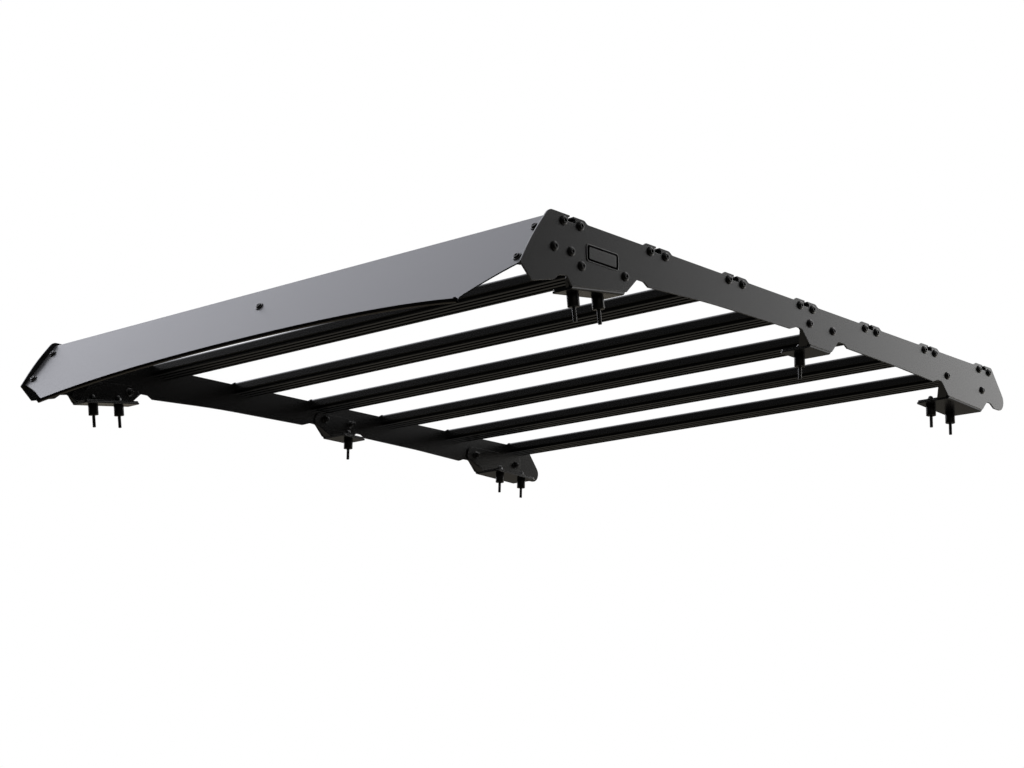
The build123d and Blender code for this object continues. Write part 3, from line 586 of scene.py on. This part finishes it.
for side, sg in (("left", -1), ("right", 1)):
    bm = bmesh.new()
    y0, z0 = at(BADGE_Y, BADGE_Z)
    # inset up and down, inset lengthwise, height, groove (1 = painted shade)
    rows = [(0.0, 0.0, 0.0, 0), (0.0, 0.0, 0.75, 0), (0.12, 0.12, 1.0, 0), (0.38, 0.38, 1.15, 0), (0.65, 0.75, 1.2, 0),
            (0.9, 1.15, 1.2, 0), (1.05, 1.35, 1.1, 1), (1.12, 1.45, 0.6, 1), (1.3, 1.65, 0.45, 1), (3.9, 5.5, 0.45, 1),
            (4.1, 5.7, 0.6, 1), (4.18, 5.8, 1.1, 1), (4.35, 6.0, 1.19, 0), (4.6, 6.3, 1.2, 0), (5.4, 7.2, 1.2, 0)]
    loops, painted_shade_flags = [], []
    for inset, inset_y, h, dark in rows:
        loop = [bm.verts.new(Vector((sg * (PLATE_OUT + h), y0 + u, z0 + v)) * MM)
                for u, v in rounded_rect(BADGE_W - 2 * inset_y, BADGE_H - 2 * inset, max(1.8, 5.0 - 0.7 * inset))]
        loops.append(loop)
        painted_shade_flags.append(dark)
    for k, (a, b) in enumerate(zip(loops, loops[1:])):
        for i in range(len(a)):
            j = (i + 1) % len(a)
            f = bm.faces.new((a[i], a[j], b[j], b[i]))
            # the groove's faces get the painted-shade material
            f.material_index = 1 if painted_shade_flags[k] and painted_shade_flags[k + 1] else 0
    bm.faces.new(loops[-1])
    bm.faces.new(list(reversed(loops[0])))
    bmesh.ops.recalc_face_normals(bm, faces=bm.faces)
    piece_from(bm, f"name_plate_{side}", "badge_coat", f"badge_{side}", 40, mats=["badge_coat", "badge_line"])

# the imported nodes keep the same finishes
for node, ob in NODES.items():
    for i, m in enumerate(ob.data.materials):
        base = m.name.split(".")[0] if m else ""
        if base in MATS:
            ob.data.materials[i] = MATS[base]


# ------------------------------------------------------------------
# stage: floor, background and soft lights
# ------------------------------------------------------------------
def maths(nt, op, a, b=None, c=None):
    n = nt.nodes.new("ShaderNodeMath")
    n.operation = op
    for i, v in enumerate((a, b, c)):
        if v is None:
            continue
        if isinstance(v, (int, float)):
            n.inputs[i].default_value = v
        else:
            nt.links.new(v, n.inputs[i])
    return n.outputs[0]


def curve(nt, fac, stops, kind="LINEAR"):
    """Brightness over a 0-1 position; stops above 1 are scaled down and back up."""
    top = max(v for _, v in stops)
    r = nt.nodes.new("ShaderNodeValToRGB")
    r.color_ramp.interpolation = kind
    els = r.color_ramp.elements
    els[0].position, els[0].color = stops[0][0], (*[stops[0][1] / top] * 3, 1)
    els[1].position, els[1].color = stops[-1][0], (*[stops[-1][1] / top] * 3, 1)
    for p, v in stops[1:-1]:
        e = els.new(p)
        e.color = (v / top, v / top, v / top, 1)
    nt.links.new(fac, r.inputs[0])
    return maths(nt, "MULTIPLY", r.outputs[0], top)


def az(degrees):
    """Position on a turn: 0 degrees looks along +Y, 90 along +X, -90 along -X."""
    return 0.5 + degrees / 360.0


def floor(z, size):
    mat, nt, out = tree("pale_floor")
    coord = add(nt, "ShaderNodeTexCoord").outputs["Object"]
    tone = noise(nt, coord, 0.35, 2.0)
    ramp = add(nt, "ShaderNodeValToRGB")
    ramp.color_ramp.elements[0].color = (0.80, 0.80, 0.80, 1)
    ramp.color_ramp.elements[1].color = (0.84, 0.84, 0.84, 1)
    nt.links.new(tone, ramp.inputs[0])
    pale = add(nt, "ShaderNodeBsdfDiffuse")
    nt.links.new(ramp.outputs[0], pale.inputs["Color"])
    glow = add(nt, "ShaderNodeEmission")
    glow.inputs["Strength"].default_value = 0.80
    seen = add(nt, "ShaderNodeAddShader")
    nt.links.new(pale.outputs[0], seen.inputs[0])
    nt.links.new(glow.outputs[0], seen.inputs[1])
    # what the rack mirrors of the floor: dim, warm behind, dark in front on the left
    flat = add(nt, "ShaderNodeSeparateXYZ")
    nt.links.new(coord, flat.inputs[0])
    side = maths(nt, "ADD", maths(nt, "DIVIDE", maths(nt, "ARCTAN2", flat.outputs["X"], flat.outputs["Y"]), TAU), 0.5)
    reach = add(nt, "ShaderNodeVectorMath", operation="LENGTH")
    nt.links.new(coord, reach.inputs[0])
    far_off = reach.outputs["Value"]
    shade = curve(nt, side, [(0.0, 0.05), (az(-160), 0.02), (az(-125), 0.02), (az(-98), 0.06), (az(-60), 0.10),
                             (az(-20), 0.095), (az(20), 0.06), (az(58), 0.03), (az(85), 0.22), (az(130), 0.22),
                             (az(155), 0.12), (1.0, 0.05)])
    close = spread(nt, far_off, 0.16, 0.0, 6.5, 12.0)
    behind = add(nt, "ShaderNodeEmission", in_Color=(1.0, 0.93, 0.80, 1))
    nt.links.new(maths(nt, "ADD", shade, close), behind.inputs["Strength"])
    glare = curve(nt, side, [(0.0, 0.0), (az(15), 0.0), (az(25), 1.8), (az(41), 1.8), (az(51), 0.0), (1.0, 0.0)])
    beside = add(nt, "ShaderNodeEmission", in_Color=(1.0, 1.0, 1.0, 1))
    nt.links.new(maths(nt, "MULTIPLY", glare, spread(nt, far_off, 1.0, 0.0, 26.0, 48.0)), beside.inputs["Strength"])
    dim = add(nt, "ShaderNodeAddShader")
    nt.links.new(behind.outputs[0], dim.inputs[0])
    nt.links.new(beside.outputs[0], dim.inputs[1])
    path = add(nt, "ShaderNodeLightPath")
    pick = add(nt, "ShaderNodeMixShader")
    nt.links.new(path.outputs["Is Camera Ray"], pick.inputs[0])
    nt.links.new(dim.outputs[0], pick.inputs[1])
    nt.links.new(seen.outputs[0], pick.inputs[2])
    nt.links.new(pick.outputs[0], out.inputs["Surface"])
    bm = bmesh.new()
    bmesh.ops.create_grid(bm, x_segments=8, y_segments=8, size=size)
    me = bpy.data.meshes.new("floor")
    bm.to_mesh(me)
    bm.free()
    ob = bpy.data.objects.new("floor", me)
    ob.location = (0, 0, z)
    scene.collection.objects.link(ob)
    me.materials.append(mat)
    return ob


floor(-5.0, 60.0)


# ------------------------------------------------------------------
# studio light: a large soft backdrop behind, to the left and above, which
# fades out towards the right and leaves the front dark
# ------------------------------------------------------------------
world = bpy.data.worlds.new("studio")
scene.world = world
world.use_nodes = True
wt = world.node_tree
for n in list(wt.nodes):
    wt.nodes.remove(n)
w_out = wt.nodes.new("ShaderNodeOutputWorld")


w_coord = wt.nodes.new("ShaderNodeTexCoord")
w_sep = wt.nodes.new("ShaderNodeSeparateXYZ")
wt.links.new(w_coord.outputs["Generated"], w_sep.inputs[0])
dx, dy, dz = w_sep.outputs["X"], w_sep.outputs["Y"], w_sep.outputs["Z"]
turn = maths(wt, "ADD", maths(wt, "DIVIDE", maths(wt, "ARCTAN2", dx, dy), TAU), 0.5)

ring = curve(wt, turn, [(0.0, 0.08), (az(-140), 0.06), (az(-126), 0.12), (az(-108), 2.5), (az(-92), 3.15), (az(-66), 2.7),
                    (az(-50), 1.6), (az(-22), 1.5),
                    (az(18), 3.4), (az(25), 3.0), (az(28), 2.15), (az(31), 1.2), (az(34), 0.70), (az(38), 0.33),
                    (az(42), 0.14), (az(47), 0.04), (az(54), 0.015), (az(76), 0.02), (az(95), 0.34), (az(125), 0.40),
                    (az(150), 0.15), (1.0, 0.08)])
lid = curve(wt, turn, [(0.0, 1.0), (az(-120), 1.6), (az(-90), 2.15), (az(0), 2.05), (az(45), 1.1), (az(90), 0.7),
                   (az(140), 0.8), (1.0, 1.0)])
# a faint strip of light just above the floor on the right
strip = curve(wt, turn, [(0.0, 0.0), (az(27), 0.0), (az(34), 0.50), (az(44), 0.6), (az(52), 0.2), (az(85), 0.0), (1.0, 0.0)])
# the far floor, lighter behind than in front
ground = curve(wt, turn, [(0.0, 0.02), (az(-125), 0.03), (az(-98), 0.12), (az(-60), 0.26), (az(-20), 0.20), (az(20), 0.12),
                      (az(32), 0.4), (az(50), 0.4), (az(66), 0.15), (az(82), 0.03), (1.0, 0.02)])
height = maths(wt, "MULTIPLY_ADD", dz, 0.5, 0.5)
share = curve(wt, height, [(0.0, 0.0), (0.5 + 0.5 * 0.55, 0.0), (0.5 + 0.5 * 0.82, 1.0), (1.0, 1.0)], "EASE")
# light from high in front, for the tops of the slats
fill = curve(wt, turn, [(0.0, 1.0), (az(-130), 0.8), (az(-105), 0.0), (az(105), 0.0), (az(130), 1.0), (1.0, 1.0)])
above = curve(wt, height, [(0.0, 0.0), (0.5 + 0.5 * 0.42, 0.0), (0.5 + 0.5 * 0.62, 1.0), (1.0, 1.0)], "EASE")
ring = maths(wt, "ADD", ring, maths(wt, "MULTIPLY", fill, above))
level = maths(wt, "ADD", maths(wt, "MULTIPLY", ring, maths(wt, "SUBTRACT", 1.0, share)), maths(wt, "MULTIPLY", lid, share))
low = curve(wt, height, [(0.0, 0.0), (0.5 - 0.5 * 0.03, 0.0), (0.5 + 0.5 * 0.0, 1.0), (0.5 + 0.5 * 0.06, 1.0),
                     (0.5 + 0.5 * 0.11, 0.0), (1.0, 0.0)])
level = maths(wt, "ADD", level, maths(wt, "MULTIPLY", strip, low))
rise = curve(wt, height, [(0.0, 0.0), (0.5, 0.0), (0.5 + 0.5 * 0.11, 1.0), (1.0, 1.0)], "EASE")
level = maths(wt, "ADD", maths(wt, "MULTIPLY", level, rise), maths(wt, "MULTIPLY", ground, maths(wt, "SUBTRACT", 1.0, rise)))
warm = curve(wt, height, [(0.0, 0.0), (0.5, 0.0), (0.5 + 0.5 * 0.20, 1.0), (1.0, 1.0)])
hue = wt.nodes.new("ShaderNodeMix")
hue.data_type = "RGBA"
hue.inputs[6].default_value = (1.0, 0.89, 0.70, 1)
wt.links.new(warm, hue.inputs[0])
# the backdrop on the left is a little cooler
cool = curve(wt, turn, [(0.0, 0.0), (az(-130), 0.0), (az(-108), 1.0), (az(-60), 1.0), (az(-30), 0.0), (1.0, 0.0)])
tone = wt.nodes.new("ShaderNodeMix")
tone.data_type = "RGBA"
tone.inputs[6].default_value = (1.0, 1.0, 1.0, 1)
tone.inputs[7].default_value = (0.965, 0.975, 1.045, 1)
wt.links.new(cool, tone.inputs[0])
wt.links.new(tone.outputs[2], hue.inputs[7])
amb = wt.nodes.new("ShaderNodeBackground")
wt.links.new(hue.outputs[2], amb.inputs["Color"])
wt.links.new(level, amb.inputs["Strength"])
white = wt.nodes.new("ShaderNodeBackground")
white.inputs["Color"].default_value = (1, 1, 1, 1)
white.inputs["Strength"].default_value = 1.0
w_path = wt.nodes.new("ShaderNodeLightPath")
w_mix = wt.nodes.new("ShaderNodeMixShader")
wt.links.new(w_path.outputs["Is Camera Ray"], w_mix.inputs[0])
wt.links.new(amb.outputs[0], w_mix.inputs[1])
wt.links.new(white.outputs[0], w_mix.inputs[2])
wt.links.new(w_mix.outputs[0], w_out.inputs["Surface"])

scene.view_settings.view_transform = "Standard"
scene.view_settings.look = "None"

bpy.context.view_layer.update()
